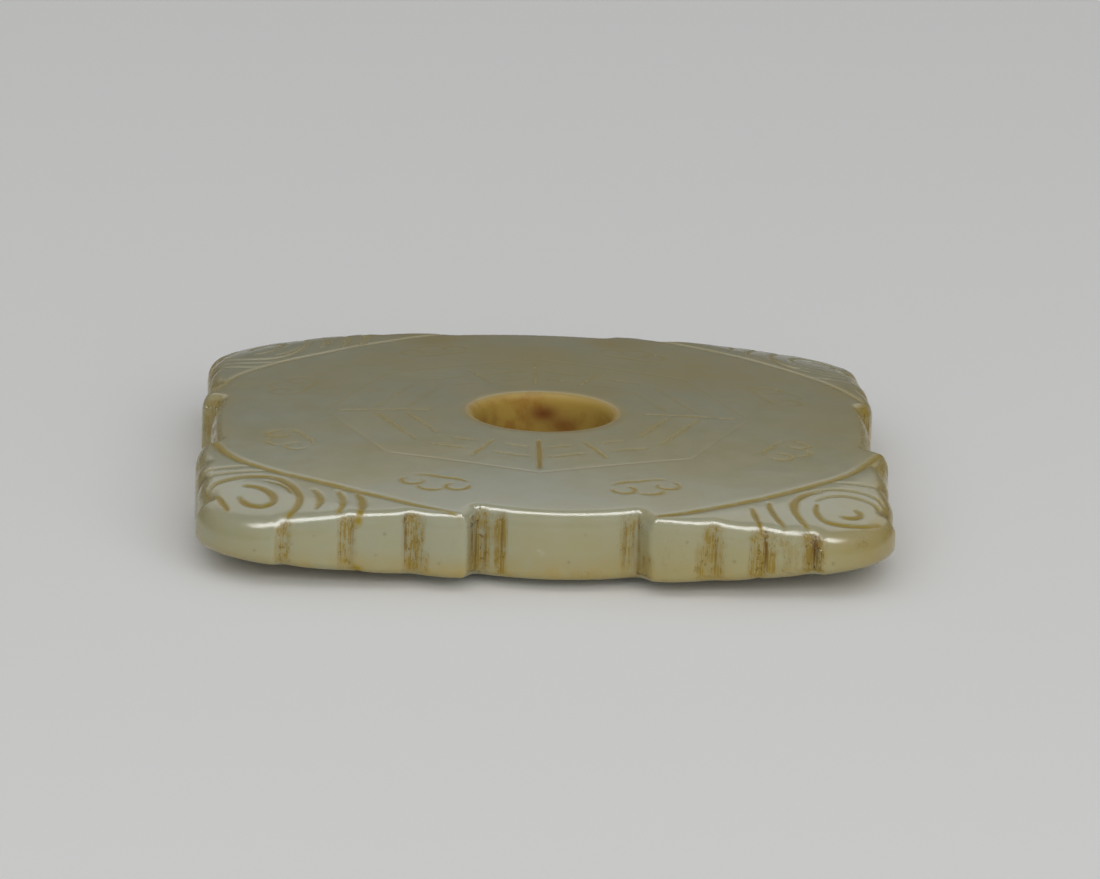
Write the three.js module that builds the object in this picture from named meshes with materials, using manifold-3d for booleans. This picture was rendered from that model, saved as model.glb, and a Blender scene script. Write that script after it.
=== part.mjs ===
import * as THREE from 'three';
import { ParametricGeometry } from 'three/addons/geometries/ParametricGeometry.js';
import { mergeVertices } from 'three/addons/utils/BufferGeometryUtils.js';
import Module from 'manifold-3d';

// A carved jade plaque: one stone, a rounded square with scalloped sides, domed on both faces,
// with a round hole through the middle. Millimetres, +Z up, -Y is the front.
// The origin is the centre of the flat ring on the underside that the stone rests on.

// The stone
const halfWidth = 29.9;
const cornerRadius = 8.2;
const thickness = 7.9;
const topFall = 1.07;
const undersideRise = 1.0;
const restRadius = 15.5;
const edgeRounding = 0.8;
const cornerRounding = 1.6;
const lowCornerRounding = 1.0;

// The top lifts a little towards the back edge. Beyond a reach from the centre, it falls away
// further to the tips of the left and the right corners, and the underside rises there.
const backLift = 0.3;
const backLiftStart = 8.0;
const leftCorner = { startRadius: 32.0, fall: 1.0, rise: 0.0, power: 1.7 };
const rightCorner = { startRadius: 31.0, fall: 0.95, rise: 0.3, power: 1.2 };

// The hole
const holeRadius = 6.0;
const holeRounding = 0.8;

// The scalloped sides: each side has flutes, a step at both ends of its middle lobe, and a
// shoulder beside each step. A point is its place along the side and out from the centre, and
// its bulge says how far the stretch that leads to it stands out.
const beforeMiddleShares = [
  { along: -0.552, out: 0.981, bulge: 0.018 },
  { along: -0.382, out: 0.967, bulge: 0.018 },
  { along: -0.234, out: 1.0, bulge: 0.015 },
];
const afterMiddleShares = [
  { along: 0.288, out: 0.992, bulge: 0 },
  { along: 0.472, out: 0.986, bulge: 0.018 },
  { along: 0.596, out: 0.986, bulge: 0.018 },
];

// A corner's lobe starts and ends at shares of its quarter turn, and the flutes beside it are a
// little way off: the last flute of the side before it and the first flute of the side after it.
const lobeStartShare = 0.125;
const lobeEndShare = 0.914;
const firstFluteGap = 0.7;
const lastFluteGap = 0.9;
const firstFluteOutShare = 0.978;
const lastFluteOutShare = 0.962;
const lastFluteBulgeShare = 0.018;

// How the right, the back, the left and the front side differ: their middle lobe, how far the
// stretch after it is drawn in, and how much later the next corner's lobe starts
const middleStartShare = -0.196;
const middleEndShare = 0.242;
const sideShares = [
  { startOut: 0.945, endOut: 0.945, bulge: 0.02, drawIn: 0.017, lobeDelay: 0.155 },
  { startOut: 0.975, endOut: 0.975, bulge: 0.02, drawIn: 0, lobeDelay: 0 },
  { startOut: 0.951, endOut: 0.951, bulge: 0.02, drawIn: 0, lobeDelay: 0 },
  { startOut: 0.924, endOut: 0.927, bulge: 0.06, drawIn: 0, lobeDelay: 0 },
];

// The border of the disc: an arc across each corner, drawn in a little at the diagonal
const borderRadius = 29.7;
const borderDrawIn = 1.3;
const borderReachDegrees = 31;
const borderDepth = 0.45;

// The cloud scroll in each corner: its centre's distance from both middle planes, and a spiral
const scrollCentre = 25.2;
const scrollInnerRadius = 1.1;
const scrollOuterRadius = 4.0;
const scrollStartDegrees = -100;
const scrollTurnDegrees = -396;
const scrollGrowthPower = 1.25;
const cloudDepth = 0.4;

// The long crescent that wraps the scroll, with its radius at even steps from flank to flank
const wrapRadius = 4.4;
const wrapFlareShares = [1.48, 1.42, 1.28, 1.09, 0.98, 0.96, 1.03, 1.2];
const wrapStartDegrees = 101;
const wrapEndDegrees = -52;

// Short crescents beside the scroll, on both flanks, each further out
const crescentRadius = 6.15;
const crescentStep = 1.65;
const crescentCount = 3;
const crescentReachDegrees = 22;
const crescentLeanDegrees = -6;

// The octagon round the hole, with two broken lines inside each of its edges, and its spokes
const octagonRadius = 18.7;
const octagonDepth = 0.3;
const patternShift = 0.4;
const innerLineRadii = [11.8, 14.5];
const innerLineGap = 0.9;
const innerLineBreak = 2.4;
const spokeStart = 9.2;
const spokeDepth = 0.35;
const midStrokeStart = 10.0;
const midStrokeEnd = 15.2;

// How finely the shapes are divided
const octagonSides = 8;
const lobeSegments = 3;
const borderSegments = 10;
const scrollSegments = 12;
const crescentSegments = 2;
const faceRingShares = [0.55, 0.88];
const coarseRingShare = 0.7;
const coarseStride = 4;
const cutterClearance = 0.12;

const radians = THREE.MathUtils.degToRad;
const quarterTurn = Math.PI / 2;
const fullTurn = Math.PI * 2;
const diagonalReach = Math.SQRT2 * (halfWidth - cornerRadius) + cornerRadius;

const wasm = await Module();
wasm.setup();

// A closed geometry as a solid that can be cut. Triangles that have closed up are left out.
function toSolid(geometry) {
  const bare = geometry.clone();
  bare.deleteAttribute('normal');
  bare.deleteAttribute('uv');
  const merged = mergeVertices(bare);
  const corners = merged.index.array;
  const kept = [];
  for (let i = 0; i < corners.length; i += 3) {
    const [a, b, c] = corners.slice(i, i + 3);
    if (a !== b && b !== c && c !== a) {
      kept.push(a, b, c);
    }
  }
  const vertProperties = new Float32Array(merged.attributes.position.array);
  const triVerts = new Uint32Array(kept);
  return new wasm.Manifold(new wasm.Mesh({ numProp: 3, vertProperties, triVerts }));
}

function toGeometry(solid) {
  const mesh = solid.getMesh();
  const geometry = new THREE.BufferGeometry();
  geometry.setAttribute('position', new THREE.BufferAttribute(mesh.vertProperties, 3));
  geometry.setIndex(new THREE.BufferAttribute(mesh.triVerts, 1));
  geometry.computeVertexNormals();
  return geometry;
}

// A corner's own value at a plan point, growing from 0 at its start to the full value at its tip
function cornerPart(name, x, y) {
  const corner = x < 0 ? leftCorner : rightCorner;
  const beyond = Math.hypot(x, y) - corner.startRadius;
  const share = beyond / (diagonalReach - corner.startRadius);
  return corner[name] * THREE.MathUtils.clamp(share, 0, 1) ** corner.power;
}

// Height of the top face: a shallow dome
function topHeight(x, y) {
  const fall = topFall * (x * x + y * y) / (halfWidth * halfWidth);
  const lift = backLift * THREE.MathUtils.smoothstep(y, backLiftStart, halfWidth);
  return thickness - fall + lift - cornerPart('fall', x, y);
}

// Height of the underside: flat in the middle, rising towards the rim
function undersideHeight(x, y) {
  const beyond = Math.max(0, x * x + y * y - restRadius * restRadius);
  const rise = undersideRise * beyond / (halfWidth * halfWidth - restRadius * restRadius);
  return rise + cornerPart('rise', x, y);
}

// One side of the outline, seen from above with the side facing +X, and the corner after it
function sideOutline(side) {
  const centre = halfWidth - cornerRadius;
  const lobeEdge = (share) => centre + cornerRadius * Math.sin(quarterTurn * share);
  const firstFlute = (lobeEdge(1 - lobeEndShare) - firstFluteGap) / halfWidth;
  const lastFlute = (lobeEdge(lobeStartShare) - lastFluteGap) / halfWidth;
  const after = [
    ...afterMiddleShares,
    { along: lastFlute, out: lastFluteOutShare, bulge: lastFluteBulgeShare },
  ];
  const shares = [
    { along: -firstFlute, out: firstFluteOutShare, bulge: 0 },
    ...beforeMiddleShares,
    { along: middleStartShare, out: side.startOut, bulge: 0 },
    { along: middleEndShare, out: side.endOut, bulge: side.bulge },
    ...after.map((p) => ({ ...p, out: p.out - side.drawIn })),
  ];
  const points = shares.map((p) => new THREE.Vector2(p.out * halfWidth, p.along * halfWidth));
  const path = new THREE.Path();
  path.moveTo(points[0].x, points[0].y);
  for (let i = 1; i < points.length; i += 1) {
    const { x, y } = points[i];
    const bulge = shares[i].bulge * halfWidth;
    if (bulge > 0) {
      const halfway = points[i - 1].clone().lerp(points[i], 1 / 2);
      path.quadraticCurveTo(halfway.x + 2 * bulge, halfway.y, x, y);
    } else {
      path.lineTo(x, y);
    }
  }
  const start = quarterTurn * (lobeStartShare + side.lobeDelay);
  path.absarc(centre, centre, cornerRadius, start, quarterTurn * lobeEndShare, false);
  return path.getPoints(lobeSegments);
}

// The whole outline, anticlockwise from above
function outline() {
  const origin = new THREE.Vector2();
  const points = [];
  sideShares.forEach((side, i) => {
    sideOutline(side).forEach((point) => points.push(point.rotateAround(origin, i * quarterTurn)));
  });
  return points;
}

// How much the rim is rounded at a point of the outline: most on the diagonals
function rimRounding(edge, atCorner) {
  const share = THREE.MathUtils.smoothstep(edge.length(), halfWidth, diagonalReach);
  return edgeRounding + (atCorner - edgeRounding) * share;
}

// The rings of the stone, in order round its section: over the top face, down the rim, back
// under the stone and up the hole. A ring's share goes from 0 at the hole to 1 at the rim. A
// rounded edge has rings at a few steps of its quarter turn.
function rings() {
  const steps = [0, 1 / 2, 1];
  const rounding = (share, side) => steps.map((step) => ({ share, side, turn: step * quarterTurn }));
  const across = [{ share: 0, side: 'rest' }, ...faceRingShares.map((share) => ({ share, side: 'face' }))];
  const face = [...rounding(0, 'hole').reverse(), ...across, ...rounding(1, 'rim')];
  const top = face.map((ring) => ({ ...ring, height: topHeight, inward: -1, atCorner: cornerRounding }));
  const underside = face.map((ring) => {
    return { ...ring, height: undersideHeight, inward: 1, atCorner: lowCornerRounding };
  });
  return [...top, ...underside.reverse()];
}

// The point of a ring that belongs to a point of the outline
function ringPoint(ring, edge) {
  const holeEdge = holeRadius + holeRounding;
  const rounding = rimRounding(edge, ring.atCorner);
  const rimEdge = edge.length() - rounding;
  let reach = THREE.MathUtils.lerp(holeEdge, rimEdge, ring.share);
  let drop = 0;
  if (ring.side === 'rest') {
    reach = restRadius;
  } else if (ring.side !== 'face') {
    const radius = ring.side === 'hole' ? holeRounding : rounding;
    const outward = ring.side === 'hole' ? -1 : 1;
    reach += outward * radius * Math.sin(ring.turn);
    drop = radius * (1 - Math.cos(ring.turn));
  }
  const plan = edge.clone().setLength(reach);
  return new THREE.Vector3(plan.x, plan.y, ring.height(plan.x, plan.y) + ring.inward * drop);
}

// The stone before it is carved. Rings near the hole use only every few points of the outline.
function stoneBlank() {
  const edges = outline();
  const sections = rings();
  const surface = (u, v, target) => {
    const ring = sections[Math.round(u * sections.length) % sections.length];
    const stride = ring.share < coarseRingShare ? coarseStride : 1;
    const index = Math.round(v * edges.length / stride) * stride;
    target.copy(ringPoint(ring, edges[index % edges.length]));
  };
  return toSolid(new ParametricGeometry(surface, sections.length, edges.length));
}

// A V-shaped groove along plan points, twice as wide as it is deep. Its cutter has a diamond
// section, whose centre line stays a little clear of the face.
function groove(plan, height, outward, depth) {
  const lift = outward * cutterClearance;
  const points = plan.map((p) => new THREE.Vector3(p.x, p.y, height(p.x, p.y) + lift));
  const section = new THREE.Shape();
  section.absarc(0, 0, depth + cutterClearance, 0, fullTurn, false);
  const extrudePath = new THREE.CatmullRomCurve3(points);
  const steps = plan.length - 1;
  return toSolid(new THREE.ExtrudeGeometry(section, { steps, curveSegments: 2, extrudePath }));
}

// Points along an arc or a spiral about a centre
function polarCurve(centre, start, end, count, radiusAt) {
  const points = [];
  for (let i = 0; i <= count; i += 1) {
    const share = i / count;
    const angle = THREE.MathUtils.lerp(start, end, share);
    const arm = new THREE.Vector2(Math.cos(angle), Math.sin(angle));
    points.push(arm.multiplyScalar(radiusAt(share)).add(centre));
  }
  return points;
}

// A straight stroke that runs past both of its ends by a length, or stops short of them
function stretched(start, end, length) {
  const run = end.clone().sub(start).setLength(length);
  return [start.clone().sub(run), end.clone().add(run)];
}

// The disc border in the front left corner
function borderArc() {
  const diagonal = -quarterTurn * 3 / 2;
  const reach = radians(borderReachDegrees);
  const radiusAt = (share) => borderRadius - borderDrawIn * Math.sin(share * Math.PI);
  return polarCurve(new THREE.Vector2(), diagonal - reach, diagonal + reach, borderSegments, radiusAt);
}

// The cloud strokes in the front left corner
function cloudStrokes() {
  const centre = new THREE.Vector2(-scrollCentre, -scrollCentre);
  const growth = scrollOuterRadius - scrollInnerRadius;
  const scrollAt = (share) => scrollInnerRadius + growth * share ** scrollGrowthPower;
  const scrollEndDegrees = scrollStartDegrees + scrollTurnDegrees;
  const wrapSegments = wrapFlareShares.length - 1;
  const wrapAt = (share) => wrapRadius * wrapFlareShares[Math.round(share * wrapSegments)];
  const strokes = [
    polarCurve(centre, radians(scrollStartDegrees), radians(scrollEndDegrees), scrollSegments, scrollAt),
    polarCurve(centre, radians(wrapStartDegrees), radians(wrapEndDegrees), wrapSegments, wrapAt),
  ];
  for (let i = 0; i < crescentCount; i += 1) {
    const radius = crescentRadius + i * crescentStep;
    const lean = radians(crescentLeanDegrees);
    const reach = radians(crescentReachDegrees) * crescentRadius / radius;
    for (const middle of [lean, quarterTurn - lean]) {
      strokes.push(polarCurve(centre, middle - reach, middle + reach, crescentSegments, () => radius));
    }
  }
  return strokes;
}

// The corner carving of one face, mirrored into all four corners
function cornerGrooves(height, outward) {
  const cuts = [];
  for (const flipX of [1, -1]) {
    for (const flipY of [1, -1]) {
      const place = (plan) => plan.map((p) => new THREE.Vector2(p.x * flipX, p.y * flipY));
      cuts.push(groove(place(borderArc()), height, outward, borderDepth));
      cloudStrokes().forEach((stroke) => cuts.push(groove(place(stroke), height, outward, cloudDepth)));
    }
  }
  return cuts;
}

// The octagon, its inner lines and its spokes, on the top face. Spokes run to every second
// corner. The edges that face the front and the back have a stroke across their middle, in the
// break of their inner lines.
function octagonGrooves() {
  const cuts = [];
  const add = (points, depth) => cuts.push(groove(points, topHeight, 1, depth));
  const place = (radius, turn) => {
    return new THREE.Vector2(Math.cos(turn) * radius - patternShift, Math.sin(turn) * radius);
  };
  for (let i = 0; i < octagonSides; i += 1) {
    const turn = i * fullTurn / octagonSides;
    const next = (i + 1) * fullTurn / octagonSides;
    const middle = (turn + next) / 2;
    const isBroken = Math.abs(Math.sin(middle)) > Math.abs(Math.cos(middle));
    add(stretched(place(octagonRadius, turn), place(octagonRadius, next), octagonDepth), octagonDepth);
    for (const radius of innerLineRadii) {
      const [start, end] = stretched(place(radius, turn), place(radius, next), -innerLineGap);
      if (isBroken) {
        const centre = start.clone().lerp(end, 1 / 2);
        const half = end.clone().sub(start).setLength(innerLineBreak / 2);
        add([start, centre.clone().sub(half)], octagonDepth);
        add([centre.clone().add(half), end], octagonDepth);
      } else {
        add([start, end], octagonDepth);
      }
    }
    if (i % 2 === 0) {
      add([place(spokeStart, turn), place(octagonRadius, turn)], spokeDepth);
    }
    if (isBroken) {
      add([place(midStrokeStart, middle), place(midStrokeEnd, middle)], spokeDepth);
    }
  }
  return cuts;
}

function jade() {
  return new THREE.MeshStandardMaterial({ color: 0xb9bba2, roughness: 0.25, metalness: 0 });
}

function carvedStone() {
  const cuts = [
    ...cornerGrooves(topHeight, 1),
    ...cornerGrooves(undersideHeight, -1),
    ...octagonGrooves(),
  ];
  const solid = cuts.reduce((stone, cut) => stone.subtract(cut), stoneBlank());
  const mesh = new THREE.Mesh(toGeometry(solid), jade());
  mesh.name = 'carved_stone';
  return mesh;
}

const plaque = new THREE.Group();
plaque.add(carvedStone());

export default plaque;
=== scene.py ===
import math

import bpy
import numpy as np
from mathutils import Matrix, Vector


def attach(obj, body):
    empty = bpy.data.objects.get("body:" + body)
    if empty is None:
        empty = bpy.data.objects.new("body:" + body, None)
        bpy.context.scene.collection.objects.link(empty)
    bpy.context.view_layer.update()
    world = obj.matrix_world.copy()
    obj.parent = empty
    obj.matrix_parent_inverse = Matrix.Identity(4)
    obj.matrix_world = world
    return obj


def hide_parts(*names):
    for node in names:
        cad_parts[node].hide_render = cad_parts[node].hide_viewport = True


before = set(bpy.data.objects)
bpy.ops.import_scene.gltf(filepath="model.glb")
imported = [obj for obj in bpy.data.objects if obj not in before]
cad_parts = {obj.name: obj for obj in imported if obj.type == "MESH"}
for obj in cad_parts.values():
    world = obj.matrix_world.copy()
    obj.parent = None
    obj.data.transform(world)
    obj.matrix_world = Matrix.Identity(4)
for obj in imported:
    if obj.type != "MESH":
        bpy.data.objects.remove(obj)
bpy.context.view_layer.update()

# A carved jade plaque. The stone is rebuilt here on the surface of the CAD solid with a fine mesh,
# in millimetres, and scaled to metres when its mesh is made. +X is right, -Y is the front.

MM = 0.001
SEED = 11

# Stone sizes, the same values as in the part's source
HALF_WIDTH = 29.9
CORNER_RADIUS = 8.2
THICKNESS = 7.9
TOP_FALL = 1.07
UNDERSIDE_RISE = 1.0
REST_RADIUS = 15.5
CORNER_ROUNDING = 1.6
LOW_CORNER_ROUNDING = 1.0
HOLE_RADIUS = 6.0
HOLE_ROUNDING = 0.8
DIAGONAL_REACH = math.sqrt(2.0) * (HALF_WIDTH - CORNER_RADIUS) + CORNER_RADIUS

# The top lifts a little towards the back edge. Beyond a reach from the centre it falls away to the
# tips of the left and the right corners, and the underside rises there.
BACK_LIFT = 0.3
BACK_LIFT_START = 8.0
LEFT_TIPS = {"start": 32.0, "fall": 1.0, "rise": 0.0, "power": 1.7}
RIGHT_TIPS = {"start": 31.0, "fall": 0.95, "rise": 0.3, "power": 1.2}

# The points of a side before and after its middle lobe: place along the side and place out from
# the centre, as shares of the half width, and the bulge of the stretch that leads there. The middle
# lobe starts and ends a little to the right of the solid's, where the photo shows it.
BEFORE_MIDDLE = [
    (-0.739, 0.978, 0.0), (-0.552, 0.981, 0.018), (-0.382, 0.967, 0.018), (-0.226, 1.0, 0.015),
]
AFTER_MIDDLE = [
    (0.292, 0.992, 0.0), (0.472, 0.986, 0.018), (0.596, 0.986, 0.018), (0.749, 0.962, 0.018),
]
MIDDLE_START = -0.193
MIDDLE_END = 0.257
# A corner's lobe starts and ends at shares of its quarter turn
LOBE_START = 0.125
LOBE_END = 0.914
# The right, the back, the left and the front side: how far out the middle lobe starts and ends, its
# bulge, how far the points after it are drawn in, and how much later the corner's lobe starts
SIDES = [
    (0.945, 0.945, 0.02, 0.017, 0.155),
    (0.975, 0.975, 0.02, 0.0, 0.0),
    (0.951, 0.951, 0.02, 0.0, 0.0),
    (0.924, 0.927, 0.06, 0.0, 0.0),
]

# The CAD lobes are chords, so the smooth lobes here are a little flatter
BULGE_SHARE = 0.86
# How finely the outline is divided, and the spread with which its corners are worn round
STRETCH_COUNT = 60
LOBE_COUNT = 160
OUTLINE_COUNT = 4096
OUTLINE_SOFTNESS = 0.23
SOFT_SPREADS = 3.0

# The rim is rounded as a quarter of an ellipse, whose height is a share more than its width on the
# sides. The faces also fall away softly over the last stretch before it.
EDGE_ROUNDING = 1.05
EDGE_HEIGHT_SHARE = 1.5
LOW_EDGE_ROUNDING = 0.8
SHOULDER_WIDTH = 2.0
SHOULDER_DROP = 0.03
# Points nearer to the centre than this share of the half width count as far from the outline. The
# others are measured to its points on both sides of their own place, over a reach.
INNER_SHARE = 0.8
SEARCH_REACH = 90
SEARCH_STEP = 2

# The section runs round the stone in eight stretches. The first grid has these rows in each, and
# the same columns round the stone.
SECTION_COUNT = 8
HOLE_TOP, TOP_FACE, TOP_RIM, WALL, LOW_RIM, UNDERSIDE, HOLE_LOW, HOLE_WALL = range(SECTION_COUNT)
SECTION_ROWS = [5, 30, 7, 8, 6, 22, 5, 9]
COLUMN_COUNT = 256

QUARTER_TURN = math.pi / 2


def smoothstep(value, low, high):
    """0 up to a low value, then rising to 1 at a high one."""
    share = np.clip((value - low) / (high - low), 0.0, 1.0)
    return share * share * (3.0 - 2.0 * share)


def fading(value, full, none):
    """1 up to a value, then falling to 0 at a higher one."""
    return smoothstep(-value, -none, -full)


def rotated(points, turn):
    cos, sin = math.cos(turn), math.sin(turn)
    return points @ np.array([[cos, sin], [-sin, cos]])


# The outline

def side_outline(side):
    """One side seen from above, facing +X, and the corner after it."""
    start_out, end_out, middle_bulge, draw_in, lobe_delay = side
    middle = [(MIDDLE_START, start_out, 0.0), (MIDDLE_END, end_out, middle_bulge)]
    after = [(along, out - draw_in, bulge) for along, out, bulge in AFTER_MIDDLE]
    points = BEFORE_MIDDLE + middle + after
    plan = [np.array([out, along]) * HALF_WIDTH for along, out, _ in points]
    pieces = []
    for start, end, (_, _, bulge) in zip(plan, plan[1:], points[1:]):
        share = np.linspace(0.0, 1.0, STRETCH_COUNT, endpoint=False)[:, None]
        if bulge > 0.0:
            lift = np.array([2.0 * bulge * BULGE_SHARE * HALF_WIDTH, 0.0])
            control = (start + end) / 2.0 + lift
            stretch = start * (1 - share) ** 2 + 2 * control * share * (1 - share) + end * share ** 2
        else:
            stretch = start + (end - start) * share
        pieces.append(stretch)
    centre = HALF_WIDTH - CORNER_RADIUS
    turn = np.linspace(LOBE_START + lobe_delay, LOBE_END, LOBE_COUNT) * QUARTER_TURN
    pieces.append(centre + CORNER_RADIUS * np.stack([np.cos(turn), np.sin(turn)], axis=1))
    return np.concatenate(pieces)


def even_loop(points, count):
    """A closed loop of points at even steps of its length."""
    closed = np.concatenate([points, points[:1]])
    steps = np.linalg.norm(np.diff(closed, axis=0), axis=1)
    length = np.concatenate([[0.0], np.cumsum(steps)])
    wanted = np.arange(count) * length[-1] / count
    return np.stack([np.interp(wanted, length, closed[:, axis]) for axis in range(2)], axis=1)


def soft_loop(points, sigma):
    """The loop with its corners worn round over a length."""
    step = np.linalg.norm(points[1] - points[0])
    reach = int(math.ceil(SOFT_SPREADS * sigma / step))
    offsets = np.arange(-reach, reach + 1)
    weights = np.exp(-0.5 * (offsets * step / sigma) ** 2)
    weights /= weights.sum()
    return sum(weight * np.roll(points, offset, axis=0) for offset, weight in zip(offsets, weights))


LOOP = np.concatenate([rotated(side_outline(side), i * QUARTER_TURN) for i, side in enumerate(SIDES)])
LOOP = soft_loop(even_loop(LOOP, OUTLINE_COUNT), OUTLINE_SOFTNESS)
LOOP_PLACE = np.arange(OUTLINE_COUNT) / OUTLINE_COUNT


def edge_at(place):
    """Plan point of the outline at a place from 0 to 1 round it."""
    axes = [np.interp(place, LOOP_PLACE, LOOP[:, axis], period=1.0) for axis in range(2)]
    return np.stack(axes, axis=1)


def distance_to_outline(plan, place):
    """Plan distance from points to the outline near their own place round it."""
    outer = np.flatnonzero(np.linalg.norm(plan, axis=1) > INNER_SHARE * HALF_WIDTH)
    middle = np.round(place[outer] * OUTLINE_COUNT).astype(int)
    close = np.full(len(outer), np.inf)
    for offset in range(-SEARCH_REACH, SEARCH_REACH + 1, SEARCH_STEP):
        candidate = LOOP[(middle + offset) % OUTLINE_COUNT]
        away = plan[outer] - candidate
        close = np.minimum(close, away[:, 0] ** 2 + away[:, 1] ** 2)
    nearest = np.full(len(plan), HALF_WIDTH)
    nearest[outer] = np.sqrt(close)
    return nearest


# The surface of the stone before it is carved

def corner_part(name, plan):
    """A corner's own value, growing from 0 at its start to the full value at its tip."""
    is_left = plan[:, 0] < 0.0
    keys = ("start", name, "power")
    start, full, power = (np.where(is_left, LEFT_TIPS[key], RIGHT_TIPS[key]) for key in keys)
    share = (np.linalg.norm(plan, axis=1) - start) / (DIAGONAL_REACH - start)
    return full * np.clip(share, 0.0, 1.0) ** power


def top_height(plan):
    fall = TOP_FALL * (plan ** 2).sum(axis=1) / HALF_WIDTH ** 2
    lift = BACK_LIFT * smoothstep(plan[:, 1], BACK_LIFT_START, HALF_WIDTH)
    return THICKNESS - fall + lift - corner_part("fall", plan)


def underside_height(plan):
    beyond = np.maximum(0.0, (plan ** 2).sum(axis=1) - REST_RADIUS ** 2)
    rise = UNDERSIDE_RISE * beyond / (HALF_WIDTH ** 2 - REST_RADIUS ** 2)
    return rise + corner_part("rise", plan)


def rim_rounding(edge, at_side, at_corner):
    """A size of the rounded rim, blended from its value on the sides to the one at the corners."""
    share = smoothstep(np.linalg.norm(edge, axis=1), HALF_WIDTH, DIAGONAL_REACH)
    return at_side + (at_corner - at_side) * share


def edge_drop(distance, width, height):
    """How far a rounded edge has fallen at a distance from the outline."""
    inside = np.clip(1.0 - distance / width, 0.0, 1.0)
    rounded = height * (1.0 - np.sqrt(1.0 - inside ** 2))
    shoulder = SHOULDER_DROP * np.clip(1.0 - distance / SHOULDER_WIDTH, 0.0, 1.0) ** 2
    return rounded + shoulder


def surface_points(section, place):
    """Points of the bare stone and their distance to the outline. Section runs from 0 to 8."""
    stretch = np.floor(section).astype(int) % SECTION_COUNT
    share = section - np.floor(section)
    edge = edge_at(place)
    full_reach = np.linalg.norm(edge, axis=1)
    direction = edge / full_reach[:, None]
    is_top = stretch <= TOP_RIM
    top_width = rim_rounding(edge, EDGE_ROUNDING, CORNER_ROUNDING)
    top_rise = rim_rounding(edge, EDGE_ROUNDING * EDGE_HEIGHT_SHARE, CORNER_ROUNDING)
    low_width = rim_rounding(edge, LOW_EDGE_ROUNDING, LOW_CORNER_ROUNDING)
    radius = np.where(is_top, top_width, low_width)
    hole_edge = HOLE_RADIUS + HOLE_ROUNDING
    rim_edge = full_reach - radius

    face_share = np.where(stretch == TOP_FACE, share, 1.0 - share)
    on_face = np.isin(stretch, (TOP_FACE, UNDERSIDE))
    rim_turn = np.where(stretch == TOP_RIM, share, 1.0 - share) * QUARTER_TURN
    on_rim = np.isin(stretch, (TOP_RIM, LOW_RIM))
    hole_turn = np.where(stretch == HOLE_TOP, 1.0 - share, share) * QUARTER_TURN
    on_hole_edge = np.isin(stretch, (HOLE_TOP, HOLE_LOW))

    reach = np.where(on_face, hole_edge + (rim_edge - hole_edge) * face_share, full_reach)
    reach = np.where(on_rim, rim_edge + radius * np.sin(rim_turn), reach)
    reach = np.where(on_hole_edge, hole_edge - HOLE_ROUNDING * np.sin(hole_turn), reach)
    reach = np.where(stretch == HOLE_WALL, HOLE_RADIUS, reach)
    plan = direction * reach[:, None]

    distance = distance_to_outline(plan, place)
    distance = np.where(stretch == WALL, 0.0, distance)
    hole_drop = HOLE_ROUNDING * (1.0 - np.cos(hole_turn))
    hole_drop = np.where(stretch == HOLE_WALL, HOLE_ROUNDING, hole_drop)
    by_hole = on_hole_edge | (stretch == HOLE_WALL)
    top_drop = np.where(by_hole, hole_drop, edge_drop(distance, top_width, top_rise))
    low_drop = np.where(by_hole, hole_drop, edge_drop(distance, low_width, low_width))
    top = top_height(plan) - top_drop
    low = underside_height(plan) + low_drop
    height = np.where(is_top, top, low)
    height = np.where(stretch == WALL, top + (low - top) * share, height)
    height = np.where(stretch == HOLE_WALL, low + (top - low) * share, height)
    return np.column_stack([plan, height]), distance


# The strokes of the carving, in plan millimetres. Half widths and strengths are given at the
# start, the middle and the end of a stroke.

TONE_KINDS = ("stain", "dark", "pale")
NONE = (0.0, 0.0, 0.0)


def stroke(points, width, depth, stain=NONE, dark=NONE, pale=NONE):
    points = np.array(points, float)
    return dict(points=points, width=width, depth=depth, stain=stain, dark=dark, pale=pale)


def arc_points(centre, radius, start, end, count=9):
    """Points along an arc between two directions in degrees."""
    turn = np.radians(np.linspace(start, end, count))
    return np.array(centre) + radius * np.stack([np.cos(turn), np.sin(turn)], axis=1)


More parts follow.
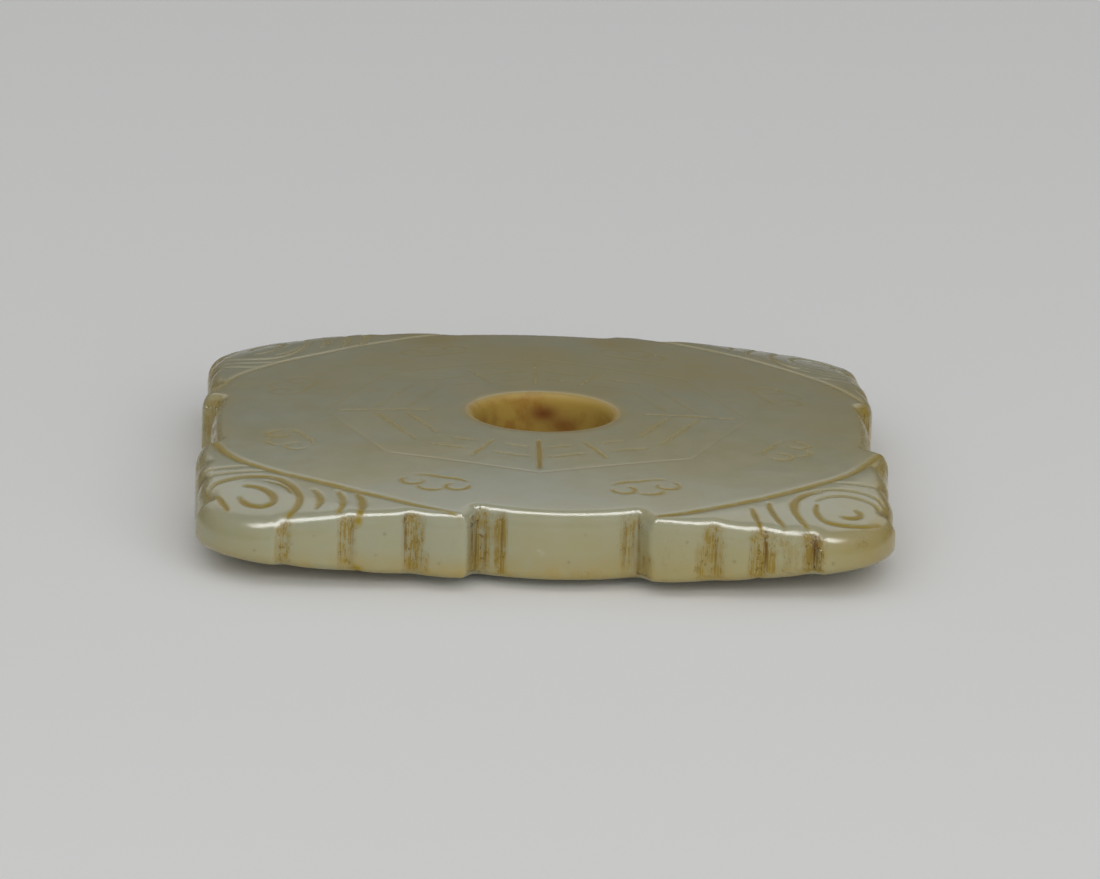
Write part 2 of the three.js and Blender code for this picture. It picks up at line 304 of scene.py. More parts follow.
LEFT_CORNER = [
    # Border of the disc. The pale line towards its end is a painted highlight on the groove's edge.
    stroke(
        [(-29.0, -8.0), (-28.4, -9.5), (-27.6, -11.9), (-26.4, -14.2), (-24.6, -16.4), (-22.6, -18.4),
         (-20.4, -20.2), (-18.2, -22.0), (-15.9, -23.9), (-13.7, -25.4), (-11.6, -27.0), (-9.5, -28.3),
         (-7.4, -29.5)],
        (0.6, 0.42, 0.16), 0.26, (0.95, 0.85, 0.55), (0.25, 0.1, 0.0), (0.0, 0.0, 0.35)),
    # Long stroke that wraps the scroll
    stroke(
        [(-28.9, -22.8), (-28.2, -21.1), (-27.4, -20.1), (-25.9, -19.2), (-24.3, -19.2), (-22.9, -19.9),
         (-22.0, -21.2), (-21.3, -22.9), (-20.9, -25.0), (-21.0, -27.0), (-21.4, -28.7), (-21.9, -29.9)],
        (0.2, 0.4, 0.42), 0.24, (0.3, 0.9, 0.8), (0.0, 0.3, 0.1)),
    stroke(
        [(-23.9, -20.4), (-22.8, -21.3), (-22.0, -22.5), (-21.6, -24.0)],
        (0.12, 0.24, 0.12), 0.16, (0.5, 0.8, 0.4), (0.1, 0.3, 0.1)),
    # Inner scroll
    stroke(
        [(-25.7, -21.5), (-24.5, -22.1), (-23.6, -23.3), (-23.1, -25.1), (-23.3, -26.6), (-24.1, -27.4),
         (-25.1, -27.0), (-25.8, -25.8), (-26.0, -24.7)],
        (0.24, 0.44, 0.24), 0.25, (0.7, 1.0, 0.6), (0.0, 0.35, 0.1)),
    stroke(
        [(-26.3, -24.9), (-25.7, -26.1), (-24.8, -27.0), (-23.9, -27.2)],
        (0.1, 0.2, 0.1), 0.14, (0.5, 0.7, 0.4)),
    # Tail on the outer flank
    stroke(
        [(-28.5, -24.1), (-27.9, -24.5), (-27.5, -26.0), (-27.1, -27.5), (-26.9, -28.6)],
        (0.16, 0.28, 0.2), 0.2, (0.6, 0.9, 0.6), (0.0, 0.3, 0.2)),
    # Crescents beside the scroll
    stroke(
        [(-19.8, -22.9), (-19.3, -24.4), (-19.15, -26.2), (-19.5, -28.2)],
        (0.12, 0.4, 0.18), 0.22, (0.5, 0.95, 0.5), (0.0, 0.15, 0.0)),
    stroke(
        [(-17.7, -23.4), (-17.35, -25.1), (-17.25, -27.1), (-17.6, -29.1)],
        (0.14, 0.38, 0.24), 0.22, (0.5, 0.85, 0.7)),
    stroke(
        [(-16.1, -24.1), (-15.65, -25.9), (-15.6, -27.9), (-16.0, -30.0)],
        (0.16, 0.42, 0.34), 0.24, (0.6, 0.95, 0.8), (0.1, 0.25, 0.1)),
    # Faint crescents on the other flank
    stroke(arc_points((-25.1, -25.6), 7.9, 80, 122), (0.12, 0.28, 0.2), 0.16, (0.3, 0.45, 0.4)),
    stroke(arc_points((-25.1, -25.6), 9.4, 84, 116), (0.12, 0.26, 0.18), 0.16, (0.2, 0.4, 0.4)),
]

RIGHT_CORNER = [
    # Border of the disc, and the long stroke that wraps the scroll
    stroke(
        [(29.4, -7.0), (28.8, -8.7), (28.1, -10.5), (26.9, -13.1), (25.4, -15.5), (23.5, -17.7),
         (21.3, -20.1), (18.9, -22.4), (16.3, -24.5), (13.7, -26.4), (11.2, -28.0), (9.2, -28.9)],
        (0.5, 0.4, 0.24), 0.26, (0.75, 0.85, 1.0), (0.0, 0.1, 0.5)),
    stroke(
        [(23.5, -19.9), (22.2, -20.9), (21.4, -22.3), (21.0, -24.0), (21.1, -26.2), (21.5, -28.1),
         (22.0, -29.9)],
        (0.2, 0.42, 0.26), 0.25, (0.5, 1.0, 0.7), (0.0, 0.3, 0.1)),
    # Faint arcs over the scroll
    stroke(
        [(22.0, -21.2), (23.0, -19.9), (24.6, -19.05), (26.2, -19.1), (27.5, -19.9), (28.5, -21.3),
         (29.1, -23.4)],
        (0.2, 0.24, 0.2), 0.16, (0.5, 0.5, 0.6)),
    stroke(
        [(22.9, -22.5), (24.0, -21.2), (25.4, -20.7), (26.7, -21.2), (27.8, -22.3), (28.5, -24.0)],
        (0.16, 0.24, 0.2), 0.16, (0.4, 0.5, 0.6)),
    stroke(arc_points((25.4, -25.0), 8.0, 98, 56), (0.12, 0.24, 0.16), 0.14, (0.2, 0.3, 0.3)),
    # Ring of the scroll and the hook inside it
    stroke(
        [(23.0, -23.4), (22.85, -25.0), (23.0, -26.4), (23.4, -27.6), (24.1, -28.4), (25.4, -28.8),
         (27.0, -28.7), (28.3, -27.8)],
        (0.24, 0.34, 0.24), 0.24, (0.9, 0.9, 0.6), (0.2, 0.2, 0.2)),
    stroke(
        [(24.9, -26.4), (25.7, -26.7), (26.4, -26.4), (26.7, -25.4), (26.2, -24.3)],
        (0.2, 0.36, 0.14), 0.24, (0.6, 1.0, 0.4), (0.0, 0.4, 0.0)),
    # Crescents beside the scroll
    stroke(
        [(18.9, -23.7), (18.9, -25.1), (19.2, -26.9), (19.6, -28.6), (20.1, -30.3)],
        (0.12, 0.34, 0.2), 0.22, (0.6, 1.0, 0.8), (0.1, 0.35, 0.2)),
    stroke(
        [(17.35, -25.3), (17.5, -27.0), (17.75, -28.8), (18.1, -30.5)],
        (0.1, 0.28, 0.2), 0.22, (0.6, 1.0, 0.9), (0.1, 0.3, 0.3)),
    # Thin dark lines in the crescents
    stroke([(19.0, -24.3), (19.2, -26.2), (19.6, -28.2)], (0.1, 0.13, 0.1), 0.1, dark=(0.3, 0.85, 0.3)),
    stroke([(17.5, -26.2), (17.7, -28.0), (18.0, -29.9)], (0.1, 0.14, 0.1), 0.1, dark=(0.5, 0.95, 0.7)),
]

# The strokes of the top are worn: shares of the widths, depths and dark strengths above
WORN_WIDTH = 0.82
WORN_DEPTH = 0.48
WORN_DARK = 0.6
# The back corners mirror the front ones. They are more worn and hold less stain.
MIRROR = np.array([1.0, -1.0])
BACK_DEPTH = 0.65
BACK_STAIN = 0.4

# The octagon, how far its lines reach from its centre, and their tones, fainter at the back
OCTAGON_RADIUS = 18.6
OCTAGON_CENTRE = np.array([-0.5, 0.0])
OCTAGON_SIDES = 8
SIDE_TURN = 360.0 / OCTAGON_SIDES
INNER_LINE_RADII = (11.8, 14.5)
INNER_LINE_GAP = 0.9
INNER_LINE_BREAK = 2.4
MIDDLE_STROKE = (10.0, 15.2)
SPOKE = (9.3, 17.4)
# The octagon's edges are tinted pale: a painted highlight on the far side of their shallow grooves
EDGE_HIGHLIGHT = 0.4
INNER_LINE_STAIN = 0.5
MIDDLE_STROKE_STAIN = 0.6
FAR_TONE_SHARE = 0.5
# Each spoke's direction in degrees, stain, darkness and depth
SPOKES = [
    (0.0, 0.5, 0.0, 0.015), (90.0, 0.3, 0.0, 0.015), (180.0, 0.45, 0.0, 0.015), (270.0, 1.2, 0.6, 0.05),
]

# The small clouds round the octagon, how strongly each is stained, and the lines of one, as places
# across and outwards
MOTIF_RADIUS = 23.3
MOTIF_TONES = [0.25, 0.25, 0.25, 0.25, 0.5, 0.85, 0.85, 0.5]
LOW_MOTIF_TONE = 0.5
CURL = [(-1.5, -0.5), (-1.1, 0.1), (-1.4, 0.9), (-2.3, 1.1), (-3.0, 0.4), (-2.9, -0.5)]
HUMP = [(-1.2, 1.2), (-0.7, 1.8), (0.0, 2.0), (0.7, 1.8), (1.2, 1.2)]
BASE_LINE = [(-2.5, -1.3), (-1.2, -1.6), (0.0, -1.5), (1.2, -1.6), (2.5, -1.3)]
MOTIF_LINES = [CURL, [(-x, y) for x, y in CURL], HUMP, BASE_LINE]

# How far a stroke near a fallen corner is drawn in, for each millimetre of fall, and the steps and
# the share of each in which it settles there
DRAW_IN = 3.63
SETTLE_STEPS = 30
SETTLE_SHARE = 0.3


def octagon_point(radius, degrees):
    turn = math.radians(degrees)
    return OCTAGON_CENTRE + radius * np.array([math.cos(turn), math.sin(turn)])


def octagon_strokes():
    """The octagon with two lines inside each edge, and its spokes. At the front and the back the
    lines are broken, with a stroke between their halves."""
    strokes = []
    for side in range(OCTAGON_SIDES):
        turn, next_turn = side * SIDE_TURN, (side + 1) * SIDE_TURN
        middle_turn = turn + SIDE_TURN / 2
        out, across = math.sin(math.radians(middle_turn)), math.cos(math.radians(middle_turn))
        share = 1.0 if out < 0.0 else FAR_TONE_SHARE
        is_broken = abs(out) > abs(across)
        edge = [octagon_point(OCTAGON_RADIUS, turn), octagon_point(OCTAGON_RADIUS, next_turn)]
        # Painted highlight: a pale tint along the edge
        pale = (EDGE_HIGHLIGHT * share,) * 3
        strokes.append(stroke(edge, (0.14, 0.17, 0.14), 0.014, (0.15, 0.2, 0.15), pale=pale))
        for radius in INNER_LINE_RADII:
            start, end = octagon_point(radius, turn), octagon_point(radius, next_turn)
            run = (end - start) / np.linalg.norm(end - start)
            start, end = start + run * INNER_LINE_GAP, end - run * INNER_LINE_GAP
            spans = [(start, end)]
            if is_broken:
                centre = (start + end) / 2
                half = run * INNER_LINE_BREAK / 2
                spans = [(start, centre - half), (centre + half, end)]
            for span in spans:
                strokes.append(stroke(span, (0.14, 0.22, 0.14), 0.012, (INNER_LINE_STAIN * share,) * 3))
        if is_broken:
            line = [octagon_point(reach, middle_turn) for reach in MIDDLE_STROKE]
            strokes.append(stroke(line, (0.16, 0.24, 0.16), 0.014, (MIDDLE_STROKE_STAIN * share,) * 3))
    for degrees, tone, darkness, depth in SPOKES:
        line = [octagon_point(reach, degrees) for reach in SPOKE]
        dark = (darkness * 0.5, darkness * 0.4, darkness)
        strokes.append(stroke(line, (0.16, 0.23, 0.19), depth, (tone,) * 3, dark))
    return strokes


def cloud_motif(degrees, tone):
    """A small plain cloud of two curls, a hump and a base line, its foot towards the centre."""
    turn = math.radians(degrees)
    out = np.array([math.cos(turn), math.sin(turn)])
    across = np.array([math.sin(turn), -math.cos(turn)])
    centre = octagon_point(MOTIF_RADIUS, degrees)
    strokes = []
    for line in MOTIF_LINES:
        points = [centre + across * x + out * y for x, y in line]
        strokes.append(stroke(points, (0.15, 0.25, 0.15), 0.014, (tone * 0.7, tone, tone * 0.7)))
    return strokes


def settled(points):
    """Points that were laid out on the plain dome, drawn in to where the fallen corners show them."""
    moved = points.copy()
    for _ in range(SETTLE_STEPS):
        wanted = points[:, 1] + DRAW_IN * corner_part("fall", moved)
        moved[:, 1] += SETTLE_SHARE * (wanted - moved[:, 1])
    return moved


def scaled(values, share):
    return tuple(value * share for value in values)


def corner_strokes():
    """The carving of all four corners: each front stroke and its worn mirror image at the back."""
    strokes = []
    for spec in LEFT_CORNER + RIGHT_CORNER:
        points = settled(spec["points"])
        faded = {kind: scaled(spec[kind], BACK_STAIN) for kind in TONE_KINDS}
        strokes.append({**spec, "points": points})
        strokes.append({**spec, **faded, "points": points * MIRROR, "depth": spec["depth"] * BACK_DEPTH})
    return strokes


def worn(spec):
    """A copy of a stroke, narrower, shallower and less dark."""
    width, dark = scaled(spec["width"], WORN_WIDTH), scaled(spec["dark"], WORN_DARK)
    return {**spec, "width": width, "depth": spec["depth"] * WORN_DEPTH, "dark": dark}


def motif_strokes(tones):
    """A cloud outside the middle of each of the octagon's edges."""
    strokes = []
    for side, tone in enumerate(tones):
        strokes += cloud_motif((side + 0.5) * SIDE_TURN, tone)
    return strokes


def top_strokes():
    return [worn(spec) for spec in corner_strokes()] + octagon_strokes() + motif_strokes(MOTIF_TONES)


def underside_strokes():
    return corner_strokes() + motif_strokes([LOW_MOTIF_TONE] * OCTAGON_SIDES)


# Maps of the carving, on a square grid over the plan

MAP_HALF = 32.0
MAP_CELL = 0.05
MAP_COUNT = int(2 * MAP_HALF / MAP_CELL) + 1
# The furthest place that still has a cell after it
MAP_END = MAP_COUNT - 1.001
MAP_KINDS = ("depth", *TONE_KINDS, "near")

# A stroke's cut is a narrow notch in a wider hollow. Both, and its tones, fall away across it in
# half widths. Its near zone is as many half widths and a margin.
NOTCH_SHARE = 0.8
NOTCH_FALL = 1.6
HOLLOW_SHARE = 0.2
HOLLOW_FALL = 0.45
TONE_FALL = 0.9
CUT_REACH = 2.4
NEAR_REACH = 1.5
NEAR_MARGIN = 0.2
# Along it, its width wavers between a few places, and it starts and ends at a share of its depth
WAVER = (0.85, 1.15)
WAVER_COUNT = 9
TAPER_LENGTH = 0.5
TAPER_START = 0.35
# The lower this power, the longer it keeps its middle values
MIDDLE_POWER = 0.8


def curve_through(points, spacing):
    """Points at small steps along a smooth curve through the given points."""
    if len(points) == 2:
        count = max(2, int(np.linalg.norm(points[1] - points[0]) / spacing))
        return points[0] + (points[1] - points[0]) * np.linspace(0.0, 1.0, count)[:, None]
    padded = np.concatenate([[2 * points[0] - points[1]], points, [2 * points[-1] - points[-2]]])
    stretches = []
    for a, b, c, d in zip(padded, padded[1:], padded[2:], padded[3:]):
        count = max(2, int(np.linalg.norm(c - b) / spacing))
        t = np.linspace(0.0, 1.0, count, endpoint=False)[:, None]
        stretches.append(0.5 * (2 * b + (c - a) * t + (2 * a - 5 * b + 4 * c - d) * t ** 2
                                + (3 * b - a - 3 * c + d) * t ** 3))
    return np.concatenate(stretches + [points[-1:]])


def along_stroke(values, share):
    """A value that goes from start over middle to end."""
    start, middle, end = values
    blend = np.sin(share * math.pi) ** MIDDLE_POWER
    return (start + (end - start) * share) * (1.0 - blend) + middle * blend


def carve_maps(strokes, rng):
    """Depth and colour strengths of all strokes. A stroke wavers a little in width."""
    maps = {kind: np.zeros((MAP_COUNT, MAP_COUNT)) for kind in MAP_KINDS}
    for spec in strokes:
        points = curve_through(spec["points"], MAP_CELL)
        share = np.linspace(0.0, 1.0, len(points))
        waver = np.interp(share, np.linspace(0.0, 1.0, WAVER_COUNT), rng.uniform(*WAVER, WAVER_COUNT))
        from_end = np.minimum(share, 1.0 - share) * len(points) * MAP_CELL
        taper = np.minimum(1.0, from_end / TAPER_LENGTH + TAPER_START)
        width = along_stroke(spec["width"], share) * waver
        depth = spec["depth"] * taper
        tones = {kind: along_stroke(spec[kind], share) * taper for kind in TONE_KINDS}
        for i, point in enumerate(points):
            reach = CUT_REACH * width[i] + NEAR_MARGIN
            low = np.ceil((point - reach + MAP_HALF) / MAP_CELL).astype(int)
            high = np.floor((point + reach + MAP_HALF) / MAP_CELL).astype(int) + 1
            low, high = np.clip([low, high], 0, MAP_COUNT)
            across = np.arange(low[0], high[0]) * MAP_CELL - MAP_HALF - point[0]
            up = np.arange(low[1], high[1]) * MAP_CELL - MAP_HALF - point[1]
            distance = np.hypot(across[None, :], up[:, None])
            window = (slice(low[1], high[1]), slice(low[0], high[0]))
            ratio = (distance / width[i]) ** 2
            cut = NOTCH_SHARE * np.exp(-ratio * NOTCH_FALL) + HOLLOW_SHARE * np.exp(-ratio * HOLLOW_FALL)
            tone = np.exp(-ratio * TONE_FALL)
            near = (distance < NEAR_REACH * width[i] + NEAR_MARGIN).astype(float)
            layers = {kind: strength[i] * tone for kind, strength in tones.items()}
            for kind, layer in {**layers, "depth": depth[i] * cut, "near": near}.items():
                maps[kind][window] = np.maximum(maps[kind][window], layer)
    return maps


def sampled(grid, plan):
    """A map's value at plan points, between its cells."""
    place = np.clip((plan + MAP_HALF) / MAP_CELL, 0.0, MAP_END)
    cell = place.astype(int)
    share = place - cell
    x, y = cell[:, 0], cell[:, 1]
    u, v = share[:, 0], share[:, 1]
    low = grid[y, x] * (1 - u) + grid[y, x + 1] * u
    high = grid[y + 1, x] * (1 - u) + grid[y + 1, x + 1] * u
    return low * (1 - v) + high * v


# The mesh: a grid round the stone, refined in passes towards these longest edges. Ground is carved
# where the near map is above its limit.

NEAR_LIMIT = 0.01
CARVED_STEP = 0.24
CARVED_LOW_STEP = 0.42
RIM_STEP = 0.36
WALL_STEP = 0.42
PLAIN_STEP = 1.25
HOLE_STEP = 0.42
NEAR_OUTLINE = 1.3
REFINE_PASSES = 7


def first_grid():
    """The section and the place of each point of the even grid, and its triangles."""
    rows = []
    for stretch, count in enumerate(SECTION_ROWS):
        rows += [stretch + step / count for step in range(count)]
    rows = np.array(rows)
    columns = np.arange(COLUMN_COUNT) / COLUMN_COUNT
    section, place = np.meshgrid(rows, columns, indexing="ij")
    row, column = np.meshgrid(np.arange(len(rows)), np.arange(COLUMN_COUNT), indexing="ij")
    next_row = (row + 1) % len(rows)
    next_column = (column + 1) % COLUMN_COUNT
    a = (row * COLUMN_COUNT + column).ravel()
    b = (next_row * COLUMN_COUNT + column).ravel()
    c = (next_row * COLUMN_COUNT + next_column).ravel()
    d = (row * COLUMN_COUNT + next_column).ravel()
    triangles = np.concatenate([np.stack([a, b, c], axis=1), np.stack([a, c, d], axis=1)])
    return section.ravel(), place.ravel(), triangles


def between(values, first, second, period):
    """The middle of two places on a loop of a given period."""
    start, end = values[first], values[second]
    end = end + np.round((start - end) / period) * period
    return (start + end) / 2 % period


def wanted_step(section, points, distance, maps):
    """The longest that an edge may be at each point."""
    stretch = np.floor(section).astype(int) % SECTION_COUNT
    step = np.full(len(section), PLAIN_STEP)
    step[distance < NEAR_OUTLINE] = RIM_STEP
    step[np.isin(stretch, (HOLE_TOP, HOLE_LOW, HOLE_WALL))] = HOLE_STEP
    step[np.isin(stretch, (TOP_RIM, LOW_RIM))] = RIM_STEP
    step[stretch == WALL] = WALL_STEP
    near_top, near_low = (sampled(face["near"], points[:, :2]) > NEAR_LIMIT for face in maps)
    step[(stretch <= TOP_RIM) & near_top] = CARVED_STEP
    step[np.isin(stretch, (UNDERSIDE, LOW_RIM)) & near_low] = CARVED_LOW_STEP
    return step


def cut_triangles(triangles, middles, first):
    """The triangles, cut at the middles of their edges, where -1 is no cut. First names each one's
    longest edge, which is cut in every cut triangle."""
    rows = np.arange(len(triangles))
    a, b, c = (triangles[rows, (first + turn) % 3] for turn in range(3))
    mid_ab, mid_bc, mid_ca = (middles[rows, (first + turn) % 3] for turn in range(3))
    cut = mid_ab >= 0
    cuts_bc = cut & (mid_bc >= 0)
    cuts_ca = cut & (mid_ca >= 0)
    pieces = [
        ((a, mid_ab, c), cut & ~cuts_ca),
        ((a, mid_ab, mid_ca), cuts_ca),
        ((mid_ca, mid_ab, c), cuts_ca),
        ((mid_ab, b, c), cut & ~cuts_bc),
        ((mid_ab, b, mid_bc), cuts_bc),
        ((mid_ab, mid_bc, c), cuts_bc),
    ]
    parts = [np.stack(corners, axis=1)[chosen] for corners, chosen in pieces]
    return np.concatenate([triangles[~cut]] + parts)


def split_long_edges(section, place, triangles, maps):
    """One pass that halves the edges that are longer than wanted, longest edges first."""
    points, distance = surface_points(section, place)
    sides = np.concatenate([triangles[:, [0, 1]], triangles[:, [1, 2]], triangles[:, [2, 0]]])
    codes = sides.min(axis=1) * len(section) + sides.max(axis=1)
    codes, inverse = np.unique(codes, return_inverse=True)
    start, end = np.divmod(codes, len(section))
    inverse = inverse.reshape(3, -1).T
    lengths = np.linalg.norm(points[start] - points[end], axis=1)
    middle_section = between(section, start, end, SECTION_COUNT)
    middle_place = between(place, start, end, 1.0)
    middle_points = (points[start] + points[end]) / 2
    nearest = np.minimum(distance[start], distance[end])
    wanted = wanted_step(middle_section, middle_points, nearest, maps)
    marked = lengths > wanted
    first = lengths[inverse].argmax(axis=1)
    longest = inverse[np.arange(len(triangles)), first]
    while True:
        pulled = longest[marked[inverse].any(axis=1)]
        if marked[pulled].all():
            break
        marked[pulled] = True
    if not marked.any():
        return section, place, triangles, False
    new_index = np.full(len(codes), -1)
    new_index[marked] = len(section) + np.arange(marked.sum())
    section = np.concatenate([section, middle_section[marked]])
    place = np.concatenate([place, middle_place[marked]])
    return section, place, cut_triangles(triangles, new_index[inverse], first), True


def vertex_normals(points, triangles):
    corners = points[triangles]
    face = np.cross(corners[:, 1] - corners[:, 0], corners[:, 2] - corners[:, 0])
    normals = np.zeros_like(points)
    for corner in range(3):
        np.add.at(normals, triangles[:, corner], face)
    return normals / np.linalg.norm(normals, axis=1)[:, None]


# Stains and marks of the side wall, and the shapes they take: a bump falls away from its middle,
# a flat mark is even up to a share of its half size and gone at another. Only narrow marks are
# bumps across.
BUMP_FALL = 2.2
FLAT_SHARE = 0.45
FLAT_END = 1.45
NARROW_MARK = 0.3
FRONT_WALL_MARKS = [
    # along, height, half width, half height, streak, dark
    (-22.15, 4.0, 0.75, 2.8, 0.6, 0.0),
    (-16.8, 4.1, 0.75, 2.9, 0.7, 0.0),
    (-16.35, 4.2, 0.12, 2.0, 0.8, 0.4),
    (-11.95, 4.9, 0.12, 2.0, 1.0, 0.95),
    (-11.2, 4.1, 0.9, 3.1, 0.8, 0.05),
    (-10.5, 2.3, 0.7, 1.3, 0.5, 0.0),
    (-6.25, 4.9, 0.12, 1.8, 0.9, 0.6),
    (-5.9, 4.0, 0.12, 2.4, 0.9, 0.45),
    (-5.65, 3.9, 0.9, 3.3, 0.75, 0.0),
    (-5.2, 3.4, 0.1, 2.4, 1.0, 0.5),
    (-3.85, 3.9, 0.5, 3.1, 0.95, 0.1),
    (-3.75, 4.6, 0.1, 1.8, 1.0, 0.6),
    (-4.7, 4.6, 0.4, 2.4, 0.35, 0.0),
    (7.1, 4.1, 0.95, 3.1, 0.45, 0.0),
    (6.65, 4.8, 0.1, 2.2, 0.8, 0.3),
    (7.75, 4.0, 0.12, 2.8, 0.8, 0.35),
    (8.5, 2.3, 0.6, 1.3, 0.5, 0.1),
    (10.6, 3.6, 1.6, 2.2, 0.12, 0.0),
    (13.3, 2.8, 0.8, 2.0, 0.6, 0.0),
    (14.05, 3.9, 0.9, 3.0, 0.65, 0.0),
    (14.3, 4.6, 0.1, 2.0, 0.85, 0.4),
    (17.9, 3.9, 0.85, 2.9, 0.75, 0.0),
    (18.45, 4.5, 0.13, 2.1, 1.0, 1.0),
    (19.0, 3.9, 0.4, 2.2, 0.65, 0.0),
    (20.4, 4.0, 1.3, 2.4, 0.35, 0.0),
    (22.65, 4.6, 0.28, 1.6, 1.0, 1.0),
    (22.55, 3.9, 0.95, 2.8, 0.95, 0.05),
    (26.9, 4.9, 0.9, 0.9, 0.4, 0.0),
    (28.1, 5.2, 0.7, 0.8, 0.4, 0.0),
    (3.4, 1.5, 1.5, 0.4, 0.25, 0.05),
]
# The other sides have a mark in each of their flutes, drawn at random between these limits
FLUTE_PLACES = [-22.2, -16.4, -11.4, -6.3, -5.3, 7.6, 8.4, 14.1, 17.8, 22.4]
MARK_STRAY = (-0.3, 0.3)
MARK_HEIGHTS = (3.4, 4.6)
MARK_HALF_WIDTHS = (0.3, 0.8)
MARK_HALF_HEIGHTS = (1.8, 3.0)
MARK_STREAKS = (0.35, 0.95)
MARK_DARKS = (-0.4, 0.7)

# Dark specks and pale flecks: along the front wall, height, radius
SPECK_DARK = 0.4
WALL_SPECKS = [
    (-13.65, 4.87, 0.14), (-7.86, 4.52, 0.13), (-14.3, 3.0, 0.1), (18.93, 3.9, 0.2), (15.79, 3.27, 0.13),
    (-19.5, 4.6, 0.09), (3.2, 5.0, 0.09), (11.8, 4.9, 0.1), (-9.1, 2.4, 0.1), (1.9, 2.7, 0.1),
    (24.2, 3.2, 0.12), (-24.6, 3.1, 0.1),
]
# Pale flecks. The one high at the left notch is a painted glint beside the rim highlight.
WALL_FLECKS_AND_GLINT = [(-0.33, 3.37, 0.22), (-0.6, 3.6, 0.14), (-22.2, 6.1, 0.16), (20.9, 4.9, 0.12)]

# Patches on the top: x, y, radius, strength
WARM_PATCHES = [
    (-23.5, -8.0, 2.6, 0.55), (-14.8, -11.3, 1.8, 0.5), (22.0, -6.0, 1.2, 0.5), (24.0, -4.6, 1.6, 0.5),
    (-9.8, 26.0, 3.4, 0.85), (6.5, 26.0, 3.6, 0.8), (2.0, 2.0, 15.0, 0.42), (16.0, 15.0, 10.0, 0.6),
    (-20.0, 14.0, 8.0, 0.3), (27.0, 12.0, 5.0, 0.55), (-11.0, -2.0, 6.0, 0.4), (0.0, 20.0, 9.0, 0.5),
    (-12.0, 20.0, 6.0, 0.45), (25.0, -2.0, 5.0, 0.4),
]
# The patch at the middle of the front edge is a painted sheen, paler and cooler where the top curves
# down to the front. The others are cooler places of the stone.
COOL_PATCHES_AND_SHEEN = [
    (-25.0, 0.0, 5.0, 0.7), (-22.0, -12.0, 5.0, 0.35), (0.0, -25.0, 9.0, 0.6), (20.0, 2.0, 6.0, 0.25),
    (17.0, -24.0, 5.0, 0.3),
]

# How warm and how streaked the rims of the front, the right, the back and the left side are, how much
# painted light pales and cools the top of their walls, and where this fades as a side runs into its
# corners
RIM_TINTS = [0.1, 0.7, 0.65, 0.45]
EDGE_STREAKS = [0.0, 0.6, 0.2, 0.5]
WALL_PAINTED_LIGHT = [0.6, 0.0, 0.0, 0.0]
SIDE_FADE = (-2.0, 7.0)
# The share of the rims' streaks low down, and how warm the front right corner's wall is
LOW_STREAK_SHARE = 0.2
CORNER_WARMTH = 0.85

# Between these two values a tint or the carving comes in or goes out. Tilts are upright shares of
# the normal, and rims are distances to the outline.
FACE_TILT = (0.1, 0.5)
WALL_TILT = (0.5, 0.97)
UNCARVED_RIM = (0.15, 1.5)
STREAKED_RIM = (0.2, 1.3)
WARM_RIM = (0.1, 2.4)
STREAKED_HEIGHT = (3.5, 6.0)
PAINTED_LIGHT_HEIGHT = (3.6, 6.6)
WARM_HEIGHT = (0.8, 4.2)
CORNER_RIGHT = (19.0, 29.0)
CORNER_FRONT = (0.0, 20.0)
BORE_EDGE = (6.15, 7.3)

# How deep the marks of the wall are, and the depth that counts as a full cut
MARK_DEPTH = 0.05
STREAK_DEPTH_SHARE = 0.6
FULL_CUT = 0.07

# Dark spots on the wall of the hole: angle round it in degrees, height, half width, half height
# and strength
BORE_SPOTS = [
    (88.0, 6.0, 1.5, 0.8, 1.0), (73.0, 5.2, 1.6, 0.9, 0.6), (134.0, 5.7, 0.35, 1.2, 0.4),
    (148.0, 5.6, 0.6, 0.9, 0.55), (35.0, 5.2, 0.5, 0.8, 0.35), (205.0, 3.4, 0.8, 1.3, 0.7),
    (262.0, 4.6, 0.6, 1.6, 0.6), (310.0, 2.8, 0.9, 0.8, 0.8), (340.0, 5.3, 0.5, 0.9, 0.5),
]


def side_place(points):
    """Each point's side, with 0 the front, 1 the right, 2 the back and 3 the left one, and its place
    along that side."""
    x, y = points[:, :2].T
    is_front_or_back = np.abs(y) >= np.abs(x)
    place = np.where(is_front_or_back, np.where(y < 0.0, x, -x), np.where(x > 0.0, y, -y))
    side = np.where(is_front_or_back, np.where(y < 0.0, 0, 2), np.where(x > 0.0, 1, 3))
    return side, place


def by_side(points, values):
    """A value for each side of the outline, fading where a side ends at its corners."""
    x, y = points[:, :2].T
    total = np.zeros(len(points))
    for value, out, along in zip(values, (-y, x, y, -x), (x, y, x, y)):
        total = np.maximum(total, value * smoothstep(out - np.abs(along), *SIDE_FADE))
    return total


def bump_shape(offset, half):
    return np.exp(-0.5 * (offset / half) ** 2 * BUMP_FALL)


def flat_shape(offset, half):
    return fading(np.abs(offset), half * FLAT_SHARE, half * FLAT_END)


